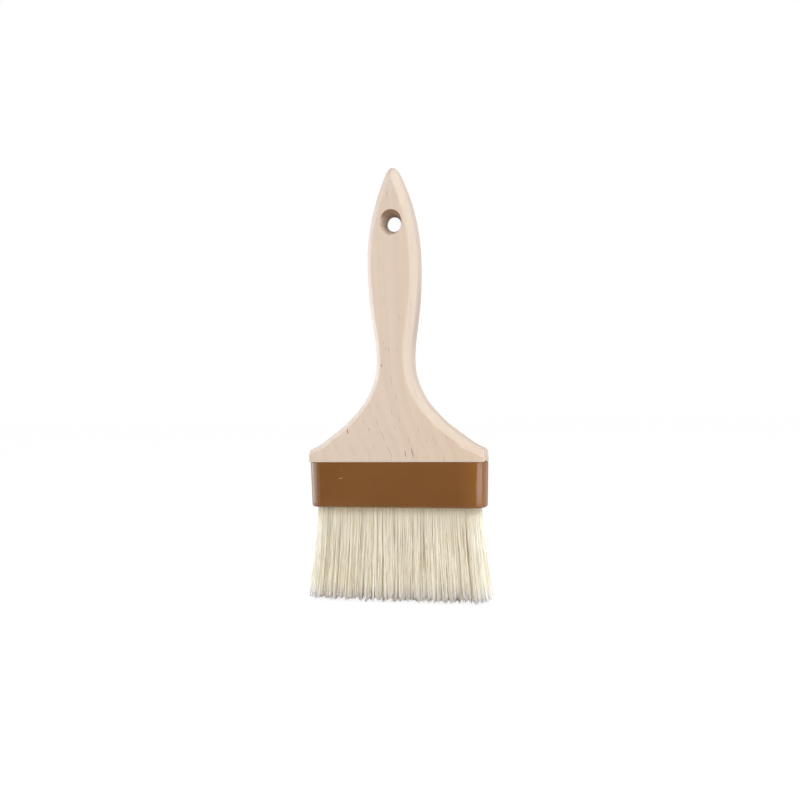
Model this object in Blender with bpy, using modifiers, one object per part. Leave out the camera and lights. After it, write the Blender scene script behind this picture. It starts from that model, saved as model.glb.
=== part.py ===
# Flat natural-bristle pastry brush.
#
# Frame: metres, +Z along the handle (up), +X across the width, -Y the front
# face.  The origin is on the plane of the bristle tips, at the middle of the
# width and of the thickness.
#
# Pieces: a flat hardwood handle with a tenon, a moulded ferrule, two banks of
# bristle (each one a gripped root and a free length), the spacer plug between
# them, the setting resin and the sleeve of adhesive round the tenon.

import math

import bmesh
import bpy
from mathutils import Vector

MM = 0.001                # every dimension below is in millimetres
SAME_PLACE = 1e-6         # metres; closer heights than this count as equal

# ---------------------------------------------------------- shared dimensions
GAP = 0.3                 # clearance between neighbouring pieces

BRISTLE_OUT = 51.0        # free bristle below the ferrule
FERRULE_HEIGHT = 25.0
FERRULE_WIDTH_TOP = 101.6
FERRULE_WIDTH_BOTTOM = 100.2
FERRULE_THICK = 18.0
FERRULE_CORNER = 7.5
FERRULE_WALL = 1.5

CAVITY_WIDTH_TOP = FERRULE_WIDTH_TOP - 2 * FERRULE_WALL
CAVITY_WIDTH_BOTTOM = FERRULE_WIDTH_BOTTOM - 2 * FERRULE_WALL
CAVITY_THICK = FERRULE_THICK - 2 * FERRULE_WALL
CAVITY_CORNER = FERRULE_CORNER - FERRULE_WALL

TENON_LENGTH = 11.3
TENON_WIDTH = 96.0
TENON_THICK = 12.7
TENON_CORNER = 4.6

ROOT_THICK = 11.8         # bristle pack at the mouth, both banks together
ROOT_WIDTH = 94.4
ROOT_TOP = 62.4
PLUG_THICK = 3.4
HALF_ROOT = ROOT_THICK / 2
ROOT_INNER = PLUG_THICK / 2 + GAP         # inner face of the roots, from y = 0

MOUTH_Z = BRISTLE_OUT                     # lower edge of the ferrule
FERRULE_TOP = MOUTH_Z + FERRULE_HEIGHT
SHOULDER_Z = FERRULE_TOP + GAP            # underside of the handle's shoulder
TENON_Z = SHOULDER_Z - TENON_LENGTH
HINGE_Z = MOUTH_Z                         # the bristles bend at the mouth
ROOT_LOW = HINGE_Z + HALF_ROOT + GAP


# ---------------------------------------------------------------------- scene
for old in list(bpy.data.objects):
    bpy.data.objects.remove(old, do_unlink=True)


def scene_collection(name):
    collection = bpy.data.collections.new(name)
    bpy.context.scene.collection.children.link(collection)
    return collection


brush = scene_collection("pastry_brush")
cutters = scene_collection("cutters")


# ------------------------------------------------------------------ materials
def material(name, color, roughness):
    mat = bpy.data.materials.new(name)
    mat.use_nodes = True
    shader = mat.node_tree.nodes["Principled BSDF"]
    shader.inputs["Base Color"].default_value = (*color, 1.0)
    shader.inputs["Roughness"].default_value = roughness
    mat.diffuse_color = (*color, 1.0)
    return mat


WOOD = material("hardwood", color=(0.74, 0.61, 0.50), roughness=0.62)
BROWN = material("brown_plastic", color=(0.205, 0.090, 0.030), roughness=0.30)
BRISTLE_FRONT = material("natural_bristle_front", color=(0.69, 0.61, 0.46), roughness=0.55)
BRISTLE_BACK = material("natural_bristle_back", color=(0.66, 0.58, 0.44), roughness=0.55)
ROOT_FRONT = material("bristle_root_front", color=(0.55, 0.43, 0.27), roughness=0.55)
ROOT_BACK = material("bristle_root_back", color=(0.52, 0.41, 0.26), roughness=0.55)
PLUG = material("spacer_wood", color=(0.58, 0.44, 0.30), roughness=0.75)
RESIN = material("setting_resin", color=(0.36, 0.22, 0.08), roughness=0.25)
GLUE = material("tenon_adhesive", color=(0.80, 0.74, 0.58), roughness=0.40)


# -------------------------------------------------------------------- helpers
def finish_object(mesh, mat, parent, sharp_angle=35.0):
    """Make an object named after its mesh, smooth except at its edges."""
    obj = bpy.data.objects.new(mesh.name, mesh)
    brush.objects.link(obj)
    mesh.materials.append(mat)
    mesh.shade_smooth()
    mesh.set_sharp_from_angle(angle=math.radians(sharp_angle))
    obj.parent = parent
    return obj


def cutter_object(mesh):
    obj = bpy.data.objects.new(mesh.name, mesh)
    cutters.objects.link(obj)
    obj.hide_render = True
    obj.display_type = 'WIRE'
    return obj


def difference(obj, cutter):
    mod = obj.modifiers.new("cut_" + cutter.name, 'BOOLEAN')
    mod.operation = 'DIFFERENCE'
    mod.solver = 'EXACT'
    mod.object = cutter


def new_mesh(name, bm):
    """Turn a bmesh into a named mesh and free it."""
    mesh = bpy.data.meshes.new(name)
    bm.to_mesh(mesh)
    bm.free()
    return mesh


def round_edges(bm, edges, offset, segments):
    bmesh.ops.bevel(bm, geom=edges, offset=offset * MM,
                    offset_type='OFFSET', segments=segments, profile=0.5,
                    affect='EDGES', clamp_overlap=False)


def block_mesh(name, width, thick, low, high, corner, segments,
               width_bottom=None):
    """A block standing on the Z axis with rounded vertical edges."""
    bm = bmesh.new()
    bmesh.ops.create_cube(bm, size=1.0)
    for v in bm.verts:
        v.co.x *= width * MM
        v.co.y *= thick * MM
        v.co.z = (high if v.co.z > 0 else low) * MM
    upright = [e for e in bm.edges
               if abs(e.verts[0].co.z - e.verts[1].co.z) > SAME_PLACE]
    round_edges(bm, upright, corner, segments)
    if width_bottom is not None:
        shift = (width - width_bottom) * 0.5 * MM
        for v in bm.verts:
            if abs(v.co.z - low * MM) < SAME_PLACE:
                v.co.x -= math.copysign(shift, v.co.x)
    bmesh.ops.recalc_face_normals(bm, faces=bm.faces)
    return new_mesh(name, bm)


def mirrored_ring(right_half, z):
    """Close a ring at height z from the (x, y) points of its +X half."""
    left_half = [(-x, y) for x, y in reversed(right_half)]
    return [(x, y, z) for x, y in right_half + left_half]


def loft_mesh(name, rings):
    """Skin a list of equal-length closed rings, lowest ring first, capped."""
    bm = bmesh.new()
    rows = [[bm.verts.new(Vector(p) * MM) for p in ring] for ring in rings]
    count = len(rows[0])
    for lower, upper in zip(rows, rows[1:]):
        for i in range(count):
            j = (i + 1) % count
            bm.faces.new((lower[i], lower[j], upper[j], upper[i]))
    bm.faces.new(list(reversed(rows[0])))
    bm.faces.new(rows[-1])
    bmesh.ops.recalc_face_normals(bm, faces=bm.faces)
    return new_mesh(name, bm)


def smooth_curve(points):
    """Cubic through the points; returns a function giving value and slope."""
    xs = [p[0] for p in points]
    ys = [p[1] for p in points]
    spans = [b - a for a, b in zip(xs, xs[1:])]
    chords = [(b - a) / span for a, b, span in zip(ys, ys[1:], spans)]
    slopes = [chords[0]]
    for i in range(1, len(spans)):
        slopes.append((chords[i - 1] * spans[i] + chords[i] * spans[i - 1])
                      / (spans[i] + spans[i - 1]))
    slopes.append(chords[-1])

    def value_and_slope(x):
        i = 0
        while i < len(spans) - 1 and x > xs[i + 1]:
            i += 1
        span = spans[i]
        t = (x - xs[i]) / span
        value = ((2 * t**3 - 3 * t**2 + 1) * ys[i]
                 + (t**3 - 2 * t**2 + t) * span * slopes[i]
                 + (-2 * t**3 + 3 * t**2) * ys[i + 1]
                 + (t**3 - t**2) * span * slopes[i + 1])
        slope = ((6 * t**2 - 6 * t) * (ys[i] - ys[i + 1]) / span
                 + (3 * t**2 - 4 * t + 1) * slopes[i]
                 + (3 * t**2 - 2 * t) * slopes[i + 1])
        return value, slope

    return value_and_slope


# -------------------------------------------------------------------- parents
root = bpy.data.objects.new("pastry_brush_root", None)
brush.objects.link(root)
flex = bpy.data.objects.new("bristle_flex_axis", None)
flex.location = (0.0, 0.0, HINGE_Z * MM)
flex.parent = root
brush.objects.link(flex)


# --------------------------------------------------------------------- handle
# A flat board, cut to the outline, with both faces chamfered all round.  Each
# section across the handle is a rectangle with its corners cut off.  Towards
# the pointed end the two chamfers of a face meet in a narrow ridge, and at the
# shoulder the chamfer runs out through the straight sides.
HANDLE_THICK = 17.6
HANDLE_CHAMFER = 4.0
HALF_THICK = HANDLE_THICK / 2
HALF_SIDE = HALF_THICK - HANDLE_CHAMFER   # half the height of the side face
RIDGE = 0.3               # least half width of a face
SHOULDER_HALF = 50.2      # half the width of the shoulder
SHOULDER_TRIM = 0.4       # least chamfer left at the shoulder

# Height above the tips, half width.
OUTLINE = [
    (76.1, 64.3), (79.0, 58.3), (82.0, 52.3), (85.5, 45.4), (89.0, 39.5),
    (93.0, 34.0), (97.5, 28.3), (102.0, 23.65), (107.0, 19.15), (112.5, 15.4),
    (118.0, 12.8), (125.0, 10.6), (133.0, 9.9), (142.0, 10.4), (152.0, 11.75),
    (163.0, 13.2), (174.0, 14.05), (185.0, 14.3), (196.0, 13.95),
    (206.0, 12.75), (215.0, 10.95), (222.0, 9.0), (228.0, 6.95),
    (232.5, 5.15), (235.8, 3.65), (238.2, 2.6), (239.6, 1.85), (240.4, 0.9),
]

# Section heights: listed at both ends, evenly stepped in between.
SHOULDER_SECTIONS = [SHOULDER_Z, 78.9, 81.0, 83.1, 85.0]
STEPPED_START = 87.5
STEPPED_SECTIONS = [(128.0, 2.9), (220.0, 6.0), (237.0, 2.6)]  # below height, step
END_SECTIONS = [238.2, 239.2, 239.9, OUTLINE[-1][0]]

HOLE_HEIGHT = 209.0       # centre of the hanging hole above the tips
HOLE_WAIST = 4.0          # radius at mid thickness
HOLE_MOUTH = 6.3          # radius at the two faces
HOLE_EASE = 1.1           # power of the widening towards the faces
HOLE_OVERSHOOT = 1.5      # cutter beyond each face
HOLE_HALF_STEPS = 8       # profile steps from mid thickness to either end

outline_at = smooth_curve(OUTLINE)


def handle_ring(z):
    half, slope = outline_at(z)
    lean = math.sqrt(1.0 + slope * slope)  # widens the chamfer across a slant
    flat_x = half - HANDLE_CHAMFER * lean
    face_y = HALF_THICK
    if flat_x < RIDGE:
        flat_x = RIDGE
        face_y = HALF_SIDE + (half - RIDGE) / lean
    edge_x = half
    edge_y = HALF_SIDE
    if half > SHOULDER_HALF:
        edge_x = SHOULDER_HALF
        edge_y = min(HALF_SIDE + (half - SHOULDER_HALF) / lean,
                     HALF_THICK - SHOULDER_TRIM)
        flat_x = min(flat_x, SHOULDER_HALF - SHOULDER_TRIM)
    return mirrored_ring([(flat_x, -face_y), (edge_x, -edge_y),
                          (edge_x, edge_y), (flat_x, face_y)], z)


def tenon_ring(z):
    x = TENON_WIDTH / 2
    y = TENON_THICK / 2
    corner = TENON_CORNER
    return mirrored_ring([(x - corner, -y), (x, -y + corner),
                          (x, y - corner), (x - corner, y)], z)


def section_heights():
    heights = list(SHOULDER_SECTIONS)
    z = STEPPED_START
    for limit, step in STEPPED_SECTIONS:
        while z < limit:
            heights.append(z)
            z += step
    return heights + END_SECTIONS


def hole_cutter():
    """A profile turned about its own Z, then laid along Y."""
    reach = HALF_THICK + HOLE_OVERSHOOT
    profile = [(0.0, reach)]
    for i in range(2 * HOLE_HALF_STEPS + 1):
        along = (1.0 - i / HOLE_HALF_STEPS) * reach
        depth = abs(along) / HALF_THICK
        radius = HOLE_WAIST + (HOLE_MOUTH - HOLE_WAIST) * depth ** HOLE_EASE
        profile.append((radius, along))
    profile.append((0.0, -reach))

    bm = bmesh.new()
    verts = [bm.verts.new((radius * MM, 0.0, along * MM))
             for radius, along in profile]
    for a, b in zip(verts, verts[1:]):
        bm.edges.new((a, b))
    cutter = cutter_object(new_mesh("hole_cutter", bm))
    cutter.rotation_euler = (math.radians(90.0), 0.0, 0.0)
    cutter.location = (0.0, 0.0, HOLE_HEIGHT * MM)
    screw = cutter.modifiers.new("turn", 'SCREW')
    screw.axis = 'Z'
    screw.angle = math.radians(360.0)
    screw.steps = 32
    screw.render_steps = 32
    screw.use_merge_vertices = True
    screw.merge_threshold = 0.00001
    return cutter


def build_handle():
    rings = [tenon_ring(TENON_Z), tenon_ring(SHOULDER_Z)]
    rings += [handle_ring(z) for z in section_heights()]
    handle = finish_object(loft_mesh("handle", rings), WOOD, root, sharp_angle=30.0)
    difference(handle, hole_cutter())


# -------------------------------------------------------------------- ferrule
# A tapered shell, open at the top, with an inward lip round the mouth below.
FERRULE_EDGE = 1.0        # rounding of the lower outer edge
LIP_HEIGHT = 1.6
MOUTH_WIDTH = 96.4
MOUTH_THICK = 13.6
MOUTH_CORNER = 5.6
FERRULE_OVERSHOOT = 3.0   # cutters beyond the ferrule's two ends
MOUTH_OVERLAP = 2.0       # mouth cutter up into the cavity


def ferrule_mesh():
    mesh = block_mesh("ferrule", FERRULE_WIDTH_TOP, FERRULE_THICK,
                      MOUTH_Z, FERRULE_TOP, FERRULE_CORNER, segments=10,
                      width_bottom=FERRULE_WIDTH_BOTTOM)
    bm = bmesh.new()
    bm.from_mesh(mesh)
    lower_edge = [e for e in bm.edges
                  if all(abs(v.co.z - MOUTH_Z * MM) < SAME_PLACE for v in e.verts)]
    round_edges(bm, lower_edge, FERRULE_EDGE, segments=3)
    bm.to_mesh(mesh)
    bm.free()
    return mesh


def build_ferrule():
    ferrule = finish_object(ferrule_mesh(), BROWN, root)
    lip_top = MOUTH_Z + LIP_HEIGHT
    cavity = block_mesh("cavity_cutter", CAVITY_WIDTH_TOP, CAVITY_THICK,
                        lip_top, FERRULE_TOP + FERRULE_OVERSHOOT,
                        CAVITY_CORNER, segments=6,
                        width_bottom=CAVITY_WIDTH_BOTTOM)
    mouth = block_mesh("mouth_cutter", MOUTH_WIDTH, MOUTH_THICK,
                       MOUTH_Z - FERRULE_OVERSHOOT, lip_top + MOUTH_OVERLAP,
                       MOUTH_CORNER, segments=6)
    difference(ferrule, cutter_object(cavity))
    difference(ferrule, cutter_object(mouth))


# -------------------------------------------------------------- bristle banks
# Free length: the top of each bank is rounded about the hinge line, so that it
# turns in the mouth, and the bank flares towards its tips.  Between the banks
# is the reservoir left by the plug, closed lower down.
TIP_THICK = 16.8          # both banks together at the tips
TIP_WIDTH = 103.6
FLARE_POWER = 1.25
END_ROUND = 5.0           # rounding of a bank's two ends, along the width
END_ROUND_DEPTH = 0.94    # the same rounding, as a share of the bank's thickness
END_ROUND_STEPS = 5
SPLIT = 0.25              # half the gap between the banks at the tips
SPLIT_CLOSES = 20.0       # height where the reservoir has closed
BANK_TOP_THICK = 1.0      # thickness of a bank at its top
BANK_TOP = HINGE_Z + math.sqrt(HALF_ROOT ** 2 - (ROOT_INNER + BANK_TOP_THICK) ** 2)
FLARE_LEVELS = [6.0 * k for k in range(9)]
ROUND_STEPS = 7           # levels are spaced by sine above the hinge

ROOT_CORNER = 1.2


def bank_section(z):
    """Half width, outer face and inner face of a bank at height z."""
    if z <= HINGE_Z:
        flare = (1.0 - z / HINGE_Z) ** FLARE_POWER
        half = (ROOT_WIDTH + (TIP_WIDTH - ROOT_WIDTH) * flare) / 2
        outer = (ROOT_THICK + (TIP_THICK - ROOT_THICK) * flare) / 2
    else:
        half = ROOT_WIDTH / 2
        outer = math.sqrt(HALF_ROOT ** 2 - (z - HINGE_Z) ** 2)
    if z <= SPLIT_CLOSES:
        inner = SPLIT
    else:
        rise = min((z - SPLIT_CLOSES) / (HINGE_Z - SPLIT_CLOSES), 1.0)
        inner = SPLIT + (ROOT_INNER - SPLIT) * rise * rise
    return half, outer, inner


def bank_ring(z, side):
    """Section of a bank, placed relative to the hinge line."""
    half, outer, inner = bank_section(z)
    round_y = (outer - inner) * END_ROUND_DEPTH
    right_half = [(half, side * inner)]
    for k in range(END_ROUND_STEPS + 1):
        angle = math.pi / 2 * k / END_ROUND_STEPS
        right_half.append((half - END_ROUND + END_ROUND * math.cos(angle),
                           side * (outer - round_y + round_y * math.sin(angle))))
    return mirrored_ring(right_half, z - HINGE_Z)


def build_bristles(name, side, mat):
    levels = FLARE_LEVELS + [
        HINGE_Z + (BANK_TOP - HINGE_Z) * math.sin(math.pi / 2 * k / ROUND_STEPS)
        for k in range(ROUND_STEPS + 1)]
    finish_object(loft_mesh(name, [bank_ring(z, side) for z in levels]), mat, flex)


def build_roots(name, side, mat):
    """The gripped part of a bank inside the ferrule, above the free length."""
    mesh = block_mesh(name, ROOT_WIDTH, HALF_ROOT - ROOT_INNER,
                      ROOT_LOW, ROOT_TOP, ROOT_CORNER, segments=4)
    roots = finish_object(mesh, mat, root)
    roots.location = (0.0, side * (HALF_ROOT + ROOT_INNER) / 2 * MM, 0.0)


# ---------------------------------------------------------------- spacer plug
PLUG_WIDTH = 88.0
PLUG_CORNER = 0.8


def build_plug():
    mesh = block_mesh("spacer_plug", PLUG_WIDTH, PLUG_THICK,
                      ROOT_LOW, ROOT_TOP, PLUG_CORNER, segments=3)
    finish_object(mesh, PLUG, root)


# -------------------------------------------------------------- setting resin
# A slab over the root ends with a skirt round them.
RESIN_BOTTOM = 58.9
RESIN_TOP = 64.4
POCKET_CORNER = 1.5
POCKET_OVERSHOOT = 2.0    # pocket cutter below the skirt


def build_resin():
    slab = block_mesh("resin_setting", CAVITY_WIDTH_BOTTOM - 2 * GAP,
                      CAVITY_THICK - 2 * GAP, RESIN_BOTTOM, RESIN_TOP,
                      CAVITY_CORNER - GAP, segments=6)
    pocket = block_mesh("pocket_cutter", ROOT_WIDTH + 2 * GAP,
                        ROOT_THICK + 2 * GAP, RESIN_BOTTOM - POCKET_OVERSHOOT,
                        ROOT_TOP + GAP, POCKET_CORNER, segments=4)
    difference(finish_object(slab, RESIN, root), cutter_object(pocket))


# ------------------------------------------------------------ handle adhesive
# An open band round the tenon, thickened outwards.
SLEEVE_THICK = 0.45
SLEEVE_LOW = TENON_Z + 0.4
SLEEVE_HIGH = SHOULDER_Z - 1.2


def build_adhesive():
    band = block_mesh("handle_adhesive", TENON_WIDTH + 2 * GAP,
                      TENON_THICK + 2 * GAP, SLEEVE_LOW, SLEEVE_HIGH,
                      TENON_CORNER, segments=1)
    bm = bmesh.new()
    bm.from_mesh(band)
    caps = [f for f in bm.faces if abs(f.normal.z) > 0.9]
    bmesh.ops.delete(bm, geom=caps, context='FACES_ONLY')
    bm.to_mesh(band)
    bm.free()
    sleeve = finish_object(band, GLUE, root)
    solidify = sleeve.modifiers.new("thickness", 'SOLIDIFY')
    solidify.thickness = SLEEVE_THICK * MM
    solidify.offset = 1.0
    solidify.use_even_offset = True


# ---------------------------------------------------------------------- build
build_handle()
build_ferrule()
for place, side, bristle_mat, root_mat in (("front", -1, BRISTLE_FRONT, ROOT_FRONT),
                                           ("back", 1, BRISTLE_BACK, ROOT_BACK)):
    build_bristles("bristles_" + place, side, bristle_mat)
    build_roots("bristle_roots_" + place, side, root_mat)
build_plug()
build_resin()
build_adhesive()
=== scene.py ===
# Flat pastry brush: a pale wooden handle, a brown plastic ferrule and two banks of
# bristle, on a pale stage. It stands upright, bristle tips at z = 0 and handle up +Z.
# Width runs along X and thickness along Y; the front faces -Y.
# Shapes are in millimetres until their meshes are made; materials are in metres.

import math
from functools import reduce
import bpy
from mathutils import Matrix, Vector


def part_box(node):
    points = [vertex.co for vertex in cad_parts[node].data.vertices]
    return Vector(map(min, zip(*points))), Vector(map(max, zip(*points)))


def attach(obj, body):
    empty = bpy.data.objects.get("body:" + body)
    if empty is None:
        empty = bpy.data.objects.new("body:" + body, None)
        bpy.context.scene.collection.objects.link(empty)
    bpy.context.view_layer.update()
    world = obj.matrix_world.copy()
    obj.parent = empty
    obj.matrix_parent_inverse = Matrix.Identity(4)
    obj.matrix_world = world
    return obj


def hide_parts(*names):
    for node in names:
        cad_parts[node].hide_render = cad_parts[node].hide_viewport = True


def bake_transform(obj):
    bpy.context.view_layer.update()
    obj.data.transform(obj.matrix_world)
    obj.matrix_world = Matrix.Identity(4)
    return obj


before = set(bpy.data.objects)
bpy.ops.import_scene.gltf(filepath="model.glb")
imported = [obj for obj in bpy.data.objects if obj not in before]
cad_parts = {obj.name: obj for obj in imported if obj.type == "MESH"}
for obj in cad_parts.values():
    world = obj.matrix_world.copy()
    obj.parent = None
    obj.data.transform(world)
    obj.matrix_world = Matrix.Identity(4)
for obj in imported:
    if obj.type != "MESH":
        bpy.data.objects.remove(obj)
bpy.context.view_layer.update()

from types import SimpleNamespace

import bmesh
import bpy
import numpy as np
from mathutils import Matrix, Vector

MM = 0.001
ferrule_lo, ferrule_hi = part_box("ferrule")
_, handle_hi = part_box("handle")
_, roots_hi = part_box("bristle_roots_front")

MOUTH = ferrule_lo.z / MM               # lower edge of the ferrule
FERRULE_TOP = ferrule_hi.z / MM + 0.22
SHOULDER = ferrule_hi.z / MM + 0.3      # underside of the handle's shoulder
TOP = handle_hi.z / MM
HALF_THICK = handle_hi.y / MM           # of the handle
HALF_SHOULDER = handle_hi.x / MM - 0.25
ROOT_TOP = roots_hi.z / MM

# hanging hole: centre height, radius at mid thickness, half width and height of its mouths
HOLE_Z, HOLE_WAIST, HOLE_MOUTH_X, HOLE_MOUTH_Z = 209.0, 4.0, 6.35, 6.85

BODY = "brush_frame"


# ------------------------------------------------------------------ mesh tools
def mesh_from_arrays(name, verts, corners, face_sizes, uv=None):
    """A mesh from vertices (n, 3) in metres, the corner indices of all faces in
    a row, and how many corners each face has."""
    mesh = bpy.data.meshes.new(name)
    mesh.vertices.add(len(verts))
    mesh.vertices.foreach_set("co", np.asarray(verts, np.float32).ravel())
    mesh.loops.add(len(corners))
    mesh.loops.foreach_set("vertex_index", np.asarray(corners, np.int32))
    mesh.polygons.add(len(face_sizes))
    starts = np.concatenate(([0], np.cumsum(face_sizes)[:-1])).astype(np.int32)
    mesh.polygons.foreach_set("loop_start", starts)
    if uv is not None:
        layer = mesh.uv_layers.new(name="OFBake")
        layer.data.foreach_set("uv", np.asarray(uv, np.float32).ravel())
    mesh.update(calc_edges=True)
    mesh.validate()
    return mesh


def finish_mesh(mesh, mat, sharp_angle=None):
    mesh.materials.clear()
    mesh.materials.append(mat)
    mesh.shade_smooth()
    if sharp_angle is not None:
        mesh.set_sharp_from_angle(angle=math.radians(sharp_angle))


def add_object(name, mesh):
    obj = bpy.data.objects.new(name, mesh)
    bpy.context.scene.collection.objects.link(obj)
    return obj


def loft(rings, closed=False):
    """Vertices and faces of a skin over equal-length rings. closed joins the
    last ring to the first; otherwise both ends are capped."""
    rows, n = len(rings), len(rings[0])
    verts = np.array(rings, float).reshape(-1, 3)
    i = np.arange(n)
    following = (i + 1) % n
    quads = []
    for k in range(rows if closed else rows - 1):
        here, there = k * n, ((k + 1) % rows) * n
        quads.append(np.stack([here + i, here + following, there + following, there + i], 1))
    quads = np.concatenate(quads)
    corners = list(quads.ravel())
    sizes = [4] * len(quads)
    if not closed:
        corners += list(range(n - 1, -1, -1))
        corners += list(range((rows - 1) * n, rows * n))
        sizes += [n, n]
    return verts, corners, sizes


def outward(mesh):
    bm = bmesh.new()
    bm.from_mesh(mesh)
    bmesh.ops.recalc_face_normals(bm, faces=bm.faces)
    bm.to_mesh(mesh)
    bm.free()


def smooth_curve(points):
    """A function giving the value and slope of a cubic Hermite curve through points."""
    xs = np.array([p[0] for p in points], float)
    ys = np.array([p[1] for p in points], float)
    step = np.diff(xs)
    rise = np.diff(ys) / step
    inner = (rise[:-1] * step[1:] + rise[1:] * step[:-1]) / (step[1:] + step[:-1])
    slopes = np.concatenate(([rise[0]], inner, [rise[-1]]))

    def at(x):
        i = int(min(max(np.searchsorted(xs, x) - 1, 0), len(step) - 1))
        t = (x - xs[i]) / step[i]
        value = ((2 * t**3 - 3 * t**2 + 1) * ys[i]
                 + (t**3 - 2 * t**2 + t) * step[i] * slopes[i]
                 + (-2 * t**3 + 3 * t**2) * ys[i + 1]
                 + (t**3 - t**2) * step[i] * slopes[i + 1])
        slope = ((6 * t**2 - 6 * t) * (ys[i] - ys[i + 1]) / step[i]
                 + (3 * t**2 - 4 * t + 1) * slopes[i]
                 + (3 * t**2 - 2 * t) * slopes[i + 1])
        return value, slope

    return at


# ------------------------------------------------------------------ node tools
class Nodes:
    """Short calls for building a node tree. A value may be a number, an (r, g, b)
    colour or another node's output."""

    def __init__(self, tree):
        self.tree = tree

    def new(self, kind, **props):
        node = self.tree.nodes.new(kind)
        for key, value in props.items():
            setattr(node, key, value)
        return node

    def put(self, socket, value):
        if isinstance(value, bpy.types.NodeSocket):
            self.tree.links.new(value, socket)
        elif socket.type == 'RGBA':
            socket.default_value = (*value, 1.0)
        else:
            socket.default_value = value

    def math(self, op, *values):
        node = self.new("ShaderNodeMath", operation=op)
        for socket, value in zip(node.inputs, values):
            self.put(socket, value)
        return node.outputs[0]

    def times(self, *values):
        return reduce(lambda a, b: self.math('MULTIPLY', a, b), values)

    def plus(self, *values):
        return reduce(lambda a, b: self.math('ADD', a, b), values)

    def largest(self, *values):
        return reduce(lambda a, b: self.math('MAXIMUM', a, b), values)

    def size(self, value):
        return self.math('ABSOLUTE', value)

    def fade(self, value, span, out=(0.0, 1.0), smooth=True):
        """Runs from out[0] to out[1] as value crosses the span."""
        node = self.new("ShaderNodeMapRange")
        node.interpolation_type = 'SMOOTHSTEP' if smooth else 'LINEAR'
        self.put(node.inputs["Value"], value)
        node.inputs["From Min"].default_value = span[0]
        node.inputs["From Max"].default_value = span[1]
        node.inputs["To Min"].default_value = out[0]
        node.inputs["To Max"].default_value = out[1]
        return node.outputs["Result"]

    def mix(self, factor, a, b, blend='MIX'):
        node = self.new("ShaderNodeMix", data_type='RGBA', blend_type=blend)
        self.put(node.inputs[0], factor)
        self.put(node.inputs[6], a)
        self.put(node.inputs[7], b)
        return node.outputs[2]

    def stain(self, base, colour, mask, amount=None, within=None):
        """base with colour laid over it by mask, times amount and within if given."""
        factors = [f for f in (mask, amount, within) if f is not None]
        return self.mix(self.times(*factors), base, colour)

    def tint(self, base, colour, mask, amount=None):
        """base multiplied by colour where mask is set."""
        factor = mask if amount is None else self.times(mask, amount)
        return self.mix(factor, base, self.mix(1.0, base, colour, 'MULTIPLY'))

    def noise(self, vector, scale, detail=2.0, rough=0.5, distort=0.0):
        node = self.new("ShaderNodeTexNoise")
        self.put(node.inputs["Vector"], vector)
        node.inputs["Scale"].default_value = scale
        node.inputs["Detail"].default_value = detail
        node.inputs["Roughness"].default_value = rough
        node.inputs["Distortion"].default_value = distort
        return node.outputs["Fac"]

    def coord(self, kind="Object"):
        return self.new("ShaderNodeTexCoord").outputs[kind]

    def split(self, vector):
        node = self.new("ShaderNodeSeparateXYZ")
        self.put(node.inputs[0], vector)
        return node.outputs[0], node.outputs[1], node.outputs[2]

    def vector(self, x, y, z, z_scale):
        """The point (x, y, z * z_scale)."""
        node = self.new("ShaderNodeCombineXYZ")
        self.put(node.inputs[0], x)
        self.put(node.inputs[1], y)
        self.put(node.inputs[2], self.times(z, z_scale))
        return node.outputs[0]

    def ellipse(self, across, along, half_width, half_length):
        """Squared distance from an ellipse's centre, 1 on its rim."""
        a = self.math('DIVIDE', across, half_width)
        b = self.math('DIVIDE', along, half_length)
        return self.plus(self.times(a, a), self.times(b, b))

    def bump(self, height, strength, distance, normal=None):
        node = self.new("ShaderNodeBump")
        node.inputs["Strength"].default_value = strength
        node.inputs["Distance"].default_value = distance
        self.put(node.inputs["Height"], height)
        if normal is not None:
            self.put(node.inputs["Normal"], normal)
        return node.outputs[0]


class Material(Nodes):
    def __init__(self, name):
        self.mat = bpy.data.materials.new(name)
        self.mat.use_nodes = True
        super().__init__(self.mat.node_tree)
        self.bsdf = self.tree.nodes["Principled BSDF"]

    def surface(self, values):
        """Sets inputs of the Principled BSDF by name."""
        for name, value in values.items():
            self.put(self.bsdf.inputs[name], value)


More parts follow.
